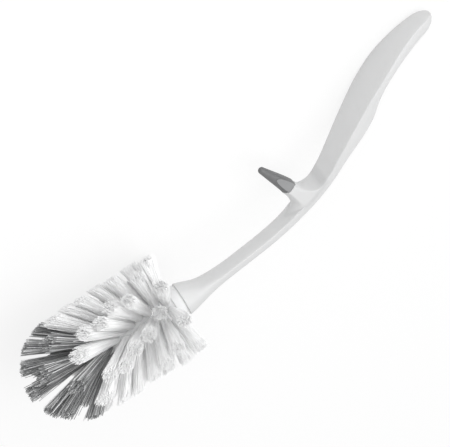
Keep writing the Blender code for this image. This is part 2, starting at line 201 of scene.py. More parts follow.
def filamentPlastic(name, look):
    # each filament carries its own shade, a tone that differs at random, and towards the root its tone is
    # darkened as painted shade
    material, nodes, links, shader = startMaterial(name)
    tone = nodes.new("ShaderNodeValToRGB")
    ramp = tone.color_ramp.elements
    ramp[0].color, ramp[1].color = (*look["dark"], 1), (*look["light"], 1)
    ramp.new(0.5).color = (*look["middle"], 1)
    # painted shade: the tone darkens towards the root, over the first part of the filament's length
    fade = nodes.new("ShaderNodeMapRange")
    fade.inputs["From Max"].default_value = look["paintedRootShadeLength"]
    fade.inputs["To Min"].default_value = look["paintedRootShade"]
    links.new(pieceValue("shade", nodes), tone.inputs["Fac"])
    links.new(pieceValue("along", nodes), fade.inputs["Value"])
    colour = timesColour(tone.outputs["Color"], fade.outputs["Result"], nodes, links)
    links.new(colour, shader.inputs["Base Color"])
    streak = noiseOver(look["streakScale"], noiseDetail["streak"], nodes, links)
    spreadRoughness(streak, look["roughness"], nodes, links, shader)
    shader.inputs["IOR"].default_value = look["ior"]
    return material


whitePlastic = mouldedPlastic("whiteMoulding", {
    "dark": (0.575, 0.577, 0.579), "light": (0.610, 0.612, 0.613), "cloudScale": 22,
    "glossScale": 90, "roughness": (0.30, 0.46), "grainScale": 2600,
    "bumpStrength": 0.12, "bumpDepth": 0.00012, "ior": 1.49, "depth": 0.12, "depthScale": 0.002,
})
corePlastic = mouldedPlastic("coreMoulding", {
    "dark": (0.67, 0.673, 0.676), "light": (0.71, 0.712, 0.714), "cloudScale": 60,
    "glossScale": 140, "roughness": (0.34, 0.52), "grainScale": 2200,
    "bumpStrength": 0.15, "bumpDepth": 0.00012, "ior": 1.49, "depth": 0.10, "depthScale": 0.002,
})
greyRubber = mouldedPlastic("greySoftCap", {
    "dark": (0.240, 0.242, 0.246), "light": (0.300, 0.302, 0.306), "cloudScale": 110,
    # tones for the round body, the step and the facet: painted shade in the step and a painted highlight on
    # the facet
    "facetLightAndShade": (0.47, 0.24, 0.90), "facetPlaces": (0.30, 0.52, 0.78),
    "glossScale": 160, "roughness": (0.42, 0.58), "grainScale": 1800,
    "bumpStrength": 0.20, "bumpDepth": 0.00015, "ior": 1.50, "depth": 0.0, "depthScale": 0.001,
})
whiteFilament = filamentPlastic("whiteFilament", {
    "dark": (0.89, 0.892, 0.895), "middle": (0.965, 0.966, 0.967), "light": (0.985, 0.986, 0.986),
    "paintedRootShadeLength": 0.25, "paintedRootShade": 0.99, "streakScale": 700, "roughness": (0.28, 0.50), "ior": 1.53,
})
# grey filaments differ at random in tone, and the near-white end of the range stands in for glints along
# the filaments, a painted highlight
greyFilament = filamentPlastic("greyFilament", {
    "dark": (0.13, 0.132, 0.134), "middle": (0.30, 0.303, 0.306), "light": (0.90, 0.903, 0.906),
    "paintedRootShadeLength": 0.16, "paintedRootShade": 0.60, "streakScale": 700, "roughness": (0.25, 0.45), "ior": 1.53,
})
print("materials made")


# Handle: grip, stem, spur web and bell, moulded as one

handleSizes = {
    "reach": 0.1920,
    "rise": 0.0793,
    "bellDiameter": 0.0196,
    "stemWidth": 0.0102,
    "stemBack": 0.0056,  # depth behind the handle's line
    "gripWidth": 0.0234,
    "gripBack": 0.0134,
    "crown": 0.0012,  # height of the front over the handle's line
    "endRound": 0.0095,
    "endBluntness": 2.4,
    "rimRound": 0.0009,
    "socketDiameter": 0.0096,
    "socketDepth": 0.0085,
    "rowSpacing": 0.0006,
    "columns": 112,
    "curveSteps": 24,  # from one station to the next
    "smoothing": 0.0025,
    "frontFlatness": 1.6,  # what full flatness adds to an ellipse's power of 2
    "backFlatness": 0.4,
    "floorShare": 0.02,  # of the bell, for the ring that closes the socket's floor
    "rimTurns": (90, 67, 44, 22),  # degrees round the rim's rounding
    "loftStartShare": 0.9,  # of the rim's rounding, where the rings along the line start
    "endRows": 22,
    "lastTurn": 0.02,  # radians from the end's pole to the last ring
}
# Reach, rise, growth in width, growth in depth behind, bell flare kept, flatness of the front
handleStations = np.array((
    (0.000, 0.000, 0.00, 0.00, 1.00, 0.00),
    (0.020, -0.002, 0.00, 0.00, 0.87, 0.03),
    (0.042, -0.002, 0.00, 0.00, 0.59, 0.10),
    (0.063, 0.000, 0.00, 0.00, 0.35, 0.30),
    (0.089, 0.008, 0.00, 0.00, 0.18, 0.60),
    (0.125, 0.018, 0.00, 0.00, 0.05, 0.90),
    (0.162, 0.028, 0.00, 0.00, 0.00, 1.00),
    (0.232, 0.050, 0.00, 0.00, 0.00, 1.00),
    (0.302, 0.076, 0.00, 0.01, 0.00, 1.00),
    (0.362, 0.110, 0.03, 0.03, 0.00, 1.00),
    (0.409, 0.152, 0.12, 0.07, 0.00, 1.00),
    (0.466, 0.213, 0.29, 0.12, 0.00, 1.00),
    (0.530, 0.307, 0.47, 0.19, 0.00, 1.00),
    (0.579, 0.407, 0.58, 0.36, 0.00, 1.00),
    (0.628, 0.513, 0.74, 0.68, 0.00, 0.95),
    (0.681, 0.625, 0.86, 0.84, 0.00, 0.90),
    (0.727, 0.717, 0.95, 0.50, 0.00, 0.95),
    (0.774, 0.796, 1.00, 0.22, 0.00, 1.00),
    (0.815, 0.859, 0.93, 0.22, 0.00, 1.00),
    (0.861, 0.918, 0.70, 0.29, 0.00, 1.00),
    (0.910, 0.967, 0.43, 0.34, 0.00, 1.00),
    (0.961, 1.000, 0.17, 0.30, 0.00, 1.00),
    (1.000, 1.000, 0.02, 0.20, 0.00, 1.00),
))


def catmullRom(rows, steps):
    # the usual cubic through all rows: four neighbouring rows weighted by cubics of the step
    padded = np.concatenate([rows[:1], rows, rows[-1:]])
    windows = np.stack([padded[offset:len(rows) - 1 + offset] for offset in range(4)], 1)
    t = np.arange(steps) / steps
    weights = np.stack([-t + 2 * t ** 2 - t ** 3, 2 - 5 * t ** 2 + 3 * t ** 3,
                        t + 4 * t ** 2 - 3 * t ** 3, t ** 3 - t ** 2], 1) / 2
    curve = np.einsum("sw,nwc->nsc", weights, windows).reshape(-1, rows.shape[1])
    return np.concatenate([curve, rows[-1:]])


def smoothAlong(values, spacing, width):
    # weights each row with its neighbours by a bell curve; the ends are mirrored so that they stay
    reach = int(np.ceil(3 * width / spacing))
    kernel = np.exp(-0.5 * (np.arange(-reach, reach + 1) * spacing / width) ** 2)
    kernel /= kernel.sum()
    head = 2 * values[:1] - values[reach:0:-1]
    tail = 2 * values[-1:] - values[-2:-reach - 2:-1]
    padded = np.concatenate([head, values, tail])
    return np.stack([np.convolve(column, kernel, "valid") for column in padded.T], 1)


def handleLine(sizes):
    # evenly spaced rows of the stations' columns, with places in metres
    curve = catmullRom(handleStations, sizes["curveSteps"])
    curve[:, 0] *= sizes["reach"]
    curve[:, 1] *= sizes["rise"]
    steps = np.hypot(*np.diff(curve[:, :2], axis=0).T)
    length = np.concatenate([[0], np.cumsum(steps)])
    even = np.linspace(0, length[-1], int(length[-1] / sizes["rowSpacing"]) + 1)
    rows = np.stack([np.interp(even, length, column) for column in curve.T], 1)
    return even, smoothAlong(rows, even[1], sizes["smoothing"])


def sectionSizes(rows, sizes):
    # half width, height of the front's crown, depth behind, and flatness, for each row
    wide, deep, flare, flat = rows[:, 2:].T
    bell = sizes["bellDiameter"] / 2
    half = (sizes["stemWidth"] + (sizes["gripWidth"] - sizes["stemWidth"]) * wide) / 2
    half = half + (bell - sizes["stemWidth"] / 2) * flare
    front = sizes["crown"] + (bell - sizes["crown"]) * flare
    back = sizes["stemBack"] + (sizes["gripBack"] - sizes["stemBack"]) * deep
    back = back + (bell - sizes["stemBack"]) * flare
    return half, front, back, np.clip(flat, 0, 1)


def handleRings(length, rows, sizes):
    # each ring is two half superellipses across the line's direction: a shallow one in front, whose
    # power grows with the flatness, and a deeper and rounder one behind
    half, front, back, flat = sectionSizes(rows, sizes)
    direction = np.gradient(rows[:, :2], length, axis=0)
    direction /= np.hypot(*direction.T)[:, None]
    direction[0] = (1, 0)
    fromEnd = length[-1] - length
    part = np.clip(fromEnd / sizes["endRound"], 0, 1)
    bluntness = sizes["endBluntness"]
    kept = (1 - (1 - part) ** bluntness) ** (1 / bluntness)
    angle = 2 * np.pi * np.arange(sizes["columns"]) / sizes["columns"]
    inFront = np.sin(angle) > 0
    power = 2 / (2 + np.where(inFront, sizes["frontFlatness"], sizes["backFlatness"]) * flat[:, None])
    depth = np.where(inFront, front[:, None], -back[:, None]) * kept[:, None]
    sideways = np.sign(np.cos(angle)) * np.abs(np.cos(angle)) ** power * (half * kept)[:, None]
    upwards = depth * np.abs(np.sin(angle)) ** power
    x = rows[:, :1] - direction[:, 1:] * upwards
    z = rows[:, 1:2] + direction[:, :1] * upwards
    return np.stack([x, sideways, z], -1)


def bellMouth(firstRing, sizes):
    # the socket's floor and wall, the flat mouth, and a small rounding up to the bell's first ring,
    # each as a place along the axis and a share of that ring
    floor, socket = sizes["socketDepth"], sizes["socketDiameter"] / sizes["bellDiameter"]
    rounding, roundShare = sizes["rimRound"], 2 * sizes["rimRound"] / sizes["bellDiameter"]
    steps = [(floor, sizes["floorShare"]), (floor, socket), (0, socket)]
    steps += [(rounding * (1 - np.sin(a)), 1 - roundShare * (1 - np.cos(a)))
              for a in np.radians(sizes["rimTurns"])]
    return np.stack([firstRing * (0, share, share) + (place, 0, 0) for place, share in steps])


def endRows(length, rows, sizes):
    # closer rows over the rounded end, at even turns, so that its curve stays even
    turn = np.linspace(np.pi / 2, sizes["lastTurn"], sizes["endRows"])
    close = length[-1] - sizes["endRound"] * (1 - np.cos(turn))
    body = length < close[0] - sizes["rowSpacing"] / 2
    places = np.concatenate([length[body], close])
    return places, np.stack([np.interp(places, length, column) for column in rows.T], 1)


# Spur web: its section is flat on both sides, and bulges in the middle towards head and grip

spurSizes = {
    "lean": np.radians(26.5),
    "foot": 0.456,  # share of the handle's reach
    "webHeight": 0.0126,
    "neckThickness": 0.0060,
    "headMiddle": 0.0053,  # how far the middle reaches towards the head, at the top
    "headFillet": 0.0121,  # and what its fillet adds to that at the foot
    "headPower": 1.6,
    "headRidge": 1.6,  # power of the bulge between the two edges
    "headTongue": 0.0018,
    "headEdge": 0.0030,
    "headEdgeSpread": 0.0024,
    "gripMiddle": 0.0033,
    "gripFillet": 0.0122,
    "gripPower": 2.2,
    "gripBulge": 0.0021,
    "sidePower": 1.3,
    "rise": 1.35,  # power by which the rings climb
    "sink": 0.0015,  # of a last ring that closes the web inside the handle
    "handleShare": 0.995,  # of the handle's width, at the foot
    "skinDepth": 0.00003,  # of the foot under the handle's surface
    "tonguePower": 4,
    "rows": 56,
    "rowPower": 1.8,  # brings the rows closer together at the foot
    "columns": (40, 44, 28),  # towards the head, on each side, towards the grip
    "edgeSmoothing": 8,
}


def spurAxes(rows, sizes):
    # the spur's foot on the handle's widest line, and its axes across and along it
    place = spurSizes["foot"] * sizes["reach"]
    foot = np.array((place, 0, np.interp(place, rows[:, 0], rows[:, 1])))
    lean = spurSizes["lean"]
    across = np.array((np.cos(lean), 0, np.sin(lean)))
    along = np.array((-np.sin(lean), 0, np.cos(lean)))
    return foot, across, along


def filletShare(left, power):
    # a superellipse's quarter: all of the fillet's width where all height is left, none at the top
    return 1 - (1 - left ** power) ** (1 / power)


def spurRings(rows, sizes):
    # rings from the handle's own front surface up to the cap. Each runs round a section that is
    # flat on its sides and swells towards head and grip, between an edge and a middle that follow
    # fillets of their own, and its corners are then averaged along the ring. Towards the head the
    # uppermost rings rise a little in the middle, as a tongue along the cap
    foot, across, along = spurAxes(rows, sizes)
    half, front, _, _ = sectionSizes(rows, sizes)
    line = np.stack([rows[:, 0], np.zeros(len(rows)), rows[:, 1]], -1) - foot
    lineAcross, lineAlong = line @ across, line @ along
    part = np.linspace(0, 1, spurSizes["rows"])[:, None] ** spurSizes["rowPower"]
    left = 1 - part
    headFillet = spurSizes["headFillet"] * filletShare(left, spurSizes["headPower"])
    gripFillet = spurSizes["gripFillet"] * filletShare(left, spurSizes["gripPower"])
    headMiddle = spurSizes["headMiddle"] + headFillet
    headEdge = spurSizes["headEdge"] + spurSizes["headEdgeSpread"] * left
    gripMiddle = spurSizes["gripMiddle"] + gripFillet
    gripEdge = gripMiddle - spurSizes["gripBulge"] * part
    noseColumns, sideColumns, gripColumns = spurSizes["columns"]
    nose = np.linspace(-1, 1, noseColumns, endpoint=False)[None, :]
    side = np.linspace(0, 1, sideColumns, endpoint=False)[None, :]
    wall = np.linspace(1, -1, gripColumns, endpoint=False)[None, :]
    ridge = 1 - np.abs(nose) ** spurSizes["headRidge"]
    x = np.concatenate([-(headEdge + (headMiddle - headEdge) * ridge),
                        -headEdge + (headEdge + gripEdge) * side,
                        gripMiddle - (gripMiddle - gripEdge) * wall ** 2,
                        gripEdge - (headEdge + gripEdge) * side], 1)
    flat = np.ones_like(part * side)
    sideways = np.concatenate([nose + 0 * part, flat, wall + 0 * part, -flat], 1)
    handleHalf = np.interp(x, lineAcross, half) * spurSizes["handleShare"]
    thick = spurSizes["neckThickness"] / 2
    y = sideways * (thick + (handleHalf - thick) * np.sin(left * np.pi / 2) ** spurSizes["sidePower"])
    for _ in range(spurSizes["edgeSmoothing"]):
        x = (np.roll(x, 1, 1) + 2 * x + np.roll(x, -1, 1)) / 4
        y = (np.roll(y, 1, 1) + 2 * y + np.roll(y, -1, 1)) / 4
    frontPower = 2 + handleSizes["frontFlatness"]
    beside = np.abs(y / np.interp(x, lineAcross, half)) ** frontPower
    crown = np.interp(x, lineAcross, front) * np.clip(1 - beside, 0, 1) ** (1 / frontPower)
    surface = np.interp(x, lineAcross, lineAlong) + crown - spurSizes["skinDepth"]
    tongue = np.concatenate([ridge, np.zeros((1, x.shape[1] - noseColumns))], 1)
    height = spurSizes["webHeight"] * part ** spurSizes["rise"] + left ** 2 * surface
    height = height + spurSizes["headTongue"] * part ** spurSizes["tonguePower"] * tongue
    rings = foot + x[..., None] * across + height[..., None] * along
    rings[..., 1] += y
    return np.concatenate([rings[:1] - along * spurSizes["sink"], rings])


handleLength, handleRows = handleLine(handleSizes)
placed, placedRows = endRows(handleLength, handleRows, handleSizes)
loft = handleRings(placed, placedRows, handleSizes)
loftStart = handleSizes["rimRound"] * handleSizes["loftStartShare"]
loft = loft[loft[:, :, 0].min(axis=1) > loftStart]
mouth = bellMouth(handleRings(handleLength, handleRows, handleSizes)[0], handleSizes)
handleSkin = joinSkins([
    closedSkin(np.concatenate([mouth, loft])),
    closedSkin(spurRings(handleRows, handleSizes)),
])
putPiece("handleMoulding", *handleSkin, whitePlastic, "white_plastic", ["handle"])


# Soft cap on the spur: round, tapered, with a flat facet on each side of its wide end

capSizes = {
    "length": 0.0250,
    "headSide": 0.0052,  # how far the base reaches towards the head
    "gripSide": 0.0031,
    "baseDepth": 0.0084,
    "tipDiameter": 0.0040,
    "headPower": 1.0,
    "gripPower": 1.5,
    "depthPower": 1.5,
    "ridge": 1.5,  # power of the section towards the head
    "boxiness": 4.0,  # added to an ellipse's power of 2 towards the grip
    "facetEdge": 0.00012,
    "facetDraft": 0.00045,
    "facetStep": 0.00015,
    "baseRound": 0.00035,
    "gap": 0.0002,
    "rows": 80,
    "columns": 160,
    "baseTurns": (10, 30, 50, 70),  # degrees round the base's rounding
    "baseShare": 0.01,  # of the height, for the section of the rounding
    "firstShare": 0.015,  # of the height, where the rows above it start
    "tipStep": 8,  # degrees between the rings of the tip
    "shapeFade": 1.5,  # power by which the section turns oval
    "liftFade": 6,  # power by which the base's rise fades out
}


def capRings(sizes):
    # a bullet whose section swells to a ridge towards the head, is boxy towards the grip, and turns
    # oval at the tip: its reach to either side and its depth fall as powers of the height, and a
    # quarter circle closes the tip. Where it is deeper than the web it is pressed flat. The base
    # rises under the ridge, as the web's tongue does
    base = spurSizes["webHeight"] + sizes["gap"]
    top = spurSizes["webHeight"] + sizes["length"]
    tip = sizes["tipDiameter"] / 2
    rounding = sizes["baseRound"]
    turn = np.radians(sizes["baseTurns"])
    close = np.radians(np.arange(sizes["tipStep"], 90, sizes["tipStep"]))
    part = np.linspace(sizes["firstShare"], 1, sizes["rows"])
    inward = np.concatenate([rounding * (1 - np.sin(turn)), np.zeros(len(part) + len(close))])
    part = np.concatenate([np.full(len(turn), sizes["baseShare"]), part, np.ones(len(close))])
    kept = np.concatenate([np.ones(len(part) - len(close)), np.cos(close)])

    def reach(wide, power):
        # from the base's reach to the tip's, less what the roundings take
        return ((wide - (wide - tip) * part ** power) * kept - inward)[:, None]

    headSide = reach(sizes["headSide"], sizes["headPower"])
    gripSide = reach(sizes["gripSide"], sizes["gripPower"])
    deep = reach(sizes["baseDepth"] / 2, sizes["depthPower"])
    height = base + (top - tip - base) * part
    height[:len(turn)] = base + rounding * (1 - np.cos(turn))
    height[-len(close):] = top - tip * (1 - np.sin(close))
    angle = 2 * np.pi * np.arange(sizes["columns"]) / sizes["columns"]
    left = 1 - part[:, None]
    toGrip = np.cos(angle)[None, :] > 0
    boxiness = np.where(toGrip, sizes["boxiness"], sizes["ridge"] - 2) * left ** sizes["shapeFade"]
    power = 2 / (2 + boxiness)
    x = np.where(toGrip, gripSide, -headSide) * np.abs(np.cos(angle)) ** power
    y = deep * np.sign(np.sin(angle)) * np.abs(np.sin(angle)) ** power
    facet = spurSizes["neckThickness"] / 2 + (sizes["facetDraft"] * part - inward)[:, None]
    over = np.abs(y) - facet
    y = np.sign(y) * (np.abs(y) - (over + np.sqrt(over ** 2 + sizes["facetEdge"] ** 2)) / 2)
    ridge = np.clip(-x / sizes["headSide"], 0, 1) ** 2
    lift = spurSizes["headTongue"] * ridge * left ** sizes["liftFade"]
    foot, across, along = spurAxes(handleRows, handleSizes)
    rings = foot + x[..., None] * across + (height[:, None] + lift)[..., None] * along
    rings[..., 1] += y
    # how far each point is pressed flat; the cap's material paints its highlight and its shade by this
    pressed = np.clip(0.5 + over / sizes["facetStep"] / 2, 0, 1)
    return rings, np.concatenate([pressed.ravel(), [0, 0]])


capShape, capFacet = capRings(capSizes)
putPiece("spurCap", *closedSkin(capShape), greyRubber, "grey_soft_cap", ["spur_cap"],
         attributes={"facet": capFacet})


# Head: the rings of tufts, from the bell to the nose

headSizes = {
    "shoulderDiameter": 0.0188,
    "shoulderLength": 0.0054,
    "shoulderRound": 0.0006,
    "grooveDiameter": 0.0184,
    "spigotDiameter": 0.009,
    "spigotLength": 0.0079,
    "gap": 0.0003,
    "coreRootDiameter": 0.0166,
    "coreTipDiameter": 0.0104,
    "slicePitch": 0.0056,
    "noseLength": 0.0044,
    "noseFrontDiameter": 0.0052,
    "tipSideStart": 0.0055,
    "tipSideEnd": 0.062,
    "tipNoseLength": 0.037,
    "tipDiameter": 0.063,
    "bluntness": 0.90,
    "arcShare": 1.11,
    "rootSink": 0.0012,
    "noseRootSink": 0.0006,
    "noseRootSlope": -0.5,
    "frontRootSink": 0.001,
}
# Number of tufts, turn of the first one from the spur's side in degrees, place of the tips
whiteRings = ((8, 23, 0.02), (8, 43, 0.19), (8, 28, 0.39), (7, 38, 0.56), (7, 27, 0.73), (7, 28, 0.91),
              (6, 20, 1.08))
greyRings = ((6, 52, 1.24), (5, 34, 1.46))
noseRing = (6, 12, 1.68)
sliceCount = len(whiteRings) + len(greyRings)


def coreRadius(place):
    # the tapered core's radius at a place forward of the seam
    part = (place - headSizes["shoulderLength"]) / (sliceCount * headSizes["slicePitch"])
    root, tip = headSizes["coreRootDiameter"], headSizes["coreTipDiameter"]
    return (root + (tip - root) * part) / 2


def tipOutline(share):
    # a straight side up to share 1, and a blunt quarter ellipse up to share 2
    radius = headSizes["tipDiameter"] / 2
    start, end = headSizes["tipSideStart"], headSizes["tipSideEnd"]
    turn = np.clip(share - 1, 0, 1) * np.pi / 2
    bluntness = headSizes["bluntness"]
    place = np.where(share <= 1, start + (end - start) * share,
                     end + headSizes["tipNoseLength"] * np.sin(turn) ** bluntness)
    return place, radius * np.clip(np.cos(turn), 0, 1) ** bluntness


def headPoint(place, radius, angle):
    # from a place forward of the seam, a radius and an angle round the axis
    return np.stack([-place, radius * np.sin(angle), radius * np.cos(angle)], -1)


# Each tuft: radius at the core and width over the tips. Its filaments: how many, how thick, how far
# they bow and stray, the share of loose ones, and how much is trimmed off them. Then the tuft's own
# wander in radians, and the body inside it: what it fills, its flutes, and how much shorter it is.
bristleLook = {
    "white": {"tuftRadius": 0.0024, "spread": 0.0088, "filaments": 220, "thickness": 0.00036,
              "bow": 0.0003, "stray": 0.00045, "loose": 0.18, "trim": 0.0023, "wander": 0.03,
              "bodyFill": 0.88, "flutes": 72, "fluteDepth": 0.05, "bodyTrim": 0.0030},
    "grey": {"tuftRadius": 0.0022, "spread": 0.0092, "filaments": 150, "thickness": 0.00042,
             "bow": 0.0004, "stray": 0.0006, "loose": 0.20, "trim": 0.0024, "wander": 0.03,
             "bodyFill": 0.80, "flutes": 60, "fluteDepth": 0.10, "bodyTrim": 0.006},
    "nose": {"tuftRadius": 0.0015, "spread": 0.0090, "filaments": 110, "thickness": 0.00040,
             "bow": 0.0004, "stray": 0.0006, "loose": 0.20, "trim": 0.0024, "wander": 0.02,
             "bodyFill": 0.80, "flutes": 60, "fluteDepth": 0.10, "bodyTrim": 0.008},
}
tuftMaking = {
    "tubeRows": 4,
    "thicknessSpan": (0.88, 1.10),
    "goldenTurn": np.radians(137.508),
    "startTurns": 6,  # radians, within which the first filament lies
    "looseReach": 2.4,  # how much further a loose filament strays
    "forwardWander": 0.5,  # of the wander, along the outline of the tips
    "bodyTrimSpan": (0.7, 1.3),
    "bodyPlaces": np.array((0, 0.225, 0.45, 0.675, 0.9, 0.96, 1)),  # shares of the body's length
    "bodyWidths": np.array((1, 1, 1, 1, 1, 0.9, 0.6)),
    "ringSeed": 40,
    "noseSeed": 60,
    "sharpAngle": 50,
}


def filamentTubes(roots, tips, look, random):
    # four-sided tubes along lines from root to tip, which a half sine bows to one side, with
    # square-cut ends. The helper is a direction that surely isn't the tube's own
    count = len(roots)
    steps = tuftMaking["tubeRows"]
    part = np.linspace(0, 1, steps)[None, :, None]
    axis = tips - roots
    length = np.linalg.norm(axis, axis=1, keepdims=True)
    axis = axis / length
    helper = np.where(np.abs(axis[:, :1]) > 0.8, (0.0, 1.0, 0.0), (1.0, 0.0, 0.0))
    sideA = np.cross(axis, helper)
    sideA /= np.linalg.norm(sideA, axis=1, keepdims=True)
    sideB = np.cross(axis, sideA)
    bowTurn = random.uniform(0, 2 * np.pi, (count, 1))
    bow = (sideA * np.cos(bowTurn) + sideB * np.sin(bowTurn)) * random.normal(0, look["bow"], (count, 1))
    line = roots[:, None] + (tips - roots)[:, None] * part + bow[:, None] * np.sin(np.pi * part)
    turn = random.uniform(0, np.pi, (count, 1, 1)) + np.arange(4)[None, None, :] * np.pi / 2
    radius = look["thickness"] / 2 * random.uniform(*tuftMaking["thicknessSpan"], (count, 1, 1, 1))
    ring = sideA[:, None, None] * np.cos(turn)[..., None] + sideB[:, None, None] * np.sin(turn)[..., None]
    points = line[:, :, None] + ring * radius
    corner = np.arange(4)
    following = (corner + 1) % 4
    row = np.arange(steps - 1)[:, None] * 4
    walls = np.stack([row + corner, row + following, row + 4 + following, row + 4 + corner], -1)
    ends = np.array(((3, 2, 1, 0), tuple((steps - 1) * 4 + corner)))
    faces = np.concatenate([walls.reshape(-1, 4), ends])
    faces = faces[None] + (np.arange(count) * steps * 4)[:, None, None]
    along = np.broadcast_to(part[..., None], (count, steps, 4, 1))
    return points.reshape(-1, 3), faces.reshape(-1, 4), along.reshape(-1)


def goldenDisc(count, startTurn=0):
    # evenly spread points of a unit disc, each a golden angle further round than the last one, and
    # as far out as the root of its share of them all
    order = np.arange(count)
    radius = np.sqrt((order + 0.5) / count)
    turn = order * tuftMaking["goldenTurn"] + startTurn
    return np.stack([radius * np.cos(turn), radius * np.sin(turn)])


def tuftEnds(place, radius, slope, ring, look, shifts, rootDisc, tipDisc):
    # carries points of a unit disc, a row for each tuft, to roots on the core and to tips on the
    # tips' outline, so that a tuft keeps its order from the core outwards
    count, turnDegrees, tipShare = ring
    tuftAngle = np.radians(turnDegrees) + 2 * np.pi * np.arange(count)[:, None] / count
    rootForward, rootAround = rootDisc[0] * look["tuftRadius"], rootDisc[1] * look["tuftRadius"]
    roots = headPoint(place + rootForward, radius + rootForward * slope, tuftAngle + rootAround / radius)
    side = headSizes["tipSideEnd"] - headSizes["tipSideStart"]
    arc = np.hypot(headSizes["tipDiameter"] / 2, headSizes["tipNoseLength"]) * headSizes["arcShare"]
    tipForward, tipAround = tipDisc[0] * look["spread"] / 2, tipDisc[1] * look["spread"] / 2
    wander = shifts[0] * tuftMaking["forwardWander"]
    share = tipShare + wander + tipForward / (side if tipShare <= 1 else arc)
    share = np.where((tipShare <= 1) & (share > 1), 1 + (share - 1) * side / arc, share)
    tipPlace, tipRadius = tipOutline(share)
    middleRadius = tipOutline(np.array(tipShare))[1]
    return roots, headPoint(tipPlace, tipRadius, tuftAngle + shifts[1] + tipAround / middleRadius)


def shortened(roots, tips, amount):
    # takes a length off the tip's end of each line
    return tips - (tips - roots) / np.linalg.norm(tips - roots, axis=-1, keepdims=True) * amount[..., None]


def tuftRing(place, radius, slope, ring, look, shifts, random):
    # every tuft is an even disc of filaments, which stray a little at the tips, the loose ones more
    count, filaments = ring[0], look["filaments"]
    rootDisc = goldenDisc(filaments, random.uniform(0, tuftMaking["startTurns"], (count, 1)))
    scatter = random.normal(0, look["stray"] / look["spread"] * 2, (2, count, filaments))
    loose = random.uniform(0, 1, (count, filaments)) < look["loose"]
    scatter *= np.where(loose, tuftMaking["looseReach"], 1)
    roots, tips = tuftEnds(place, radius, slope, ring, look, shifts, rootDisc, rootDisc + scatter)
    tips = shortened(roots, tips, random.uniform(0, look["trim"], tips.shape[:2]))
    return roots.reshape(-1, 3), tips.reshape(-1, 3)


def tuftBodies(place, radius, slope, ring, look, shifts, random):
    # inside each tuft, a fluted body stands for its packed filaments, up to a little under the tips
    count, columns = ring[0], look["flutes"]
    turn = 2 * np.pi * np.arange(columns)[None, :] / columns
    fill = look["bodyFill"] * (1 + look["fluteDepth"] * random.uniform(-1, 1, (count, columns)))
    disc = np.stack([fill * np.cos(turn), fill * np.sin(turn)])
    roots, tips = tuftEnds(place, radius, slope, ring, look, shifts, disc, disc)
    trim = look["bodyTrim"] * random.uniform(*tuftMaking["bodyTrimSpan"], tips.shape[:2])
    tips = shortened(roots, tips, trim)
    part = tuftMaking["bodyPlaces"]
    rings = roots[:, None] + (tips - roots)[:, None] * part[None, :, None, None]
    middle = rings.mean(2, keepdims=True)
    rings = middle + (rings - middle) * tuftMaking["bodyWidths"][None, :, None, None]
    points, faces = joinSkins([closedSkin(tuft) for tuft in rings])
    shade = np.tile(random.uniform(0, 1, (count, 1, columns)), (1, len(part), 1)).reshape(count, -1)
    # both poles of each body take the darkest tone and the root's painted shade, so the middle of each
    # body's end is painted shade between the filament ends
    shade = np.concatenate([shade, np.zeros((count, 2))], 1)
    along = np.concatenate([np.repeat(part, columns), [0, 0]])
    return points, faces, shade.ravel(), np.tile(along, count)


def frontTuft(place, look, random):
    # one tuft straight ahead from the nose
    upwards, sideways = goldenDisc(look["filaments"])
    flat = np.stack([np.zeros(look["filaments"]), sideways, upwards], -1)
    roots = flat * look["tuftRadius"] + (-place, 0, 0)
    tips = flat * look["spread"] / 2 + random.normal(0, look["stray"], flat.shape)
    reach = headSizes["tipSideEnd"] + headSizes["tipNoseLength"]
    tips[:, 0] = random.uniform(0, look["trim"], look["filaments"]) - reach
    return roots, tips


def putBristles(name, roots, tips, body, look, material, slot, node, random):
    # the filaments and the bodies inside them become one piece, which carries both shades
    points, faces, along = filamentTubes(roots, tips, look, random)
    perFilament = len(points) // len(roots)
    shade = np.repeat(random.uniform(0, 1, len(roots)), perFilament)
    bodyPoints, bodyFaces, bodyShade, bodyAlong = body
    allPoints, allFaces = joinSkins([(points, faces.tolist()), (bodyPoints, bodyFaces)])
    values = {"shade": np.concatenate([shade, bodyShade]), "along": np.concatenate([along, bodyAlong])}
    putPiece(name, allPoints, allFaces, material, slot, [node], tuftMaking["sharpAngle"], values)


tuftPlaces = []
coreTaper = (headSizes["coreTipDiameter"] - headSizes["coreRootDiameter"]) / 2
coreSlope = coreTaper / (sliceCount * headSizes["slicePitch"])
for index, ring in enumerate(whiteRings + greyRings):
    white = index < len(whiteRings)
    colour = "white" if white else "grey"
    material = whiteFilament if white else greyFilament
    number = index + 1 if white else index + 1 - len(whiteRings)
    random = np.random.default_rng(tuftMaking["ringSeed"] + index)
    look = bristleLook[colour]
    place = headSizes["shoulderLength"] + (index + 0.5) * headSizes["slicePitch"] + headSizes["gap"] / 2
    radius = float(coreRadius(place))
    tuftPlaces += [(place, radius, np.radians(ring[1]) + 2 * np.pi * k / ring[0]) for k in range(ring[0])]
    shifts = random.normal(0, look["wander"], (2, ring[0], 1))
    rootRadius = radius - headSizes["rootSink"]
    roots, tips = tuftRing(place, rootRadius, coreSlope, ring, look, shifts, random)
    body = tuftBodies(place, rootRadius, coreSlope, ring, look, shifts, random)
    putBristles(f"{colour}Bristles{number}", roots, tips, body, look, material,
                f"{colour}_bristle", f"{colour}_tufts_{number}", random)

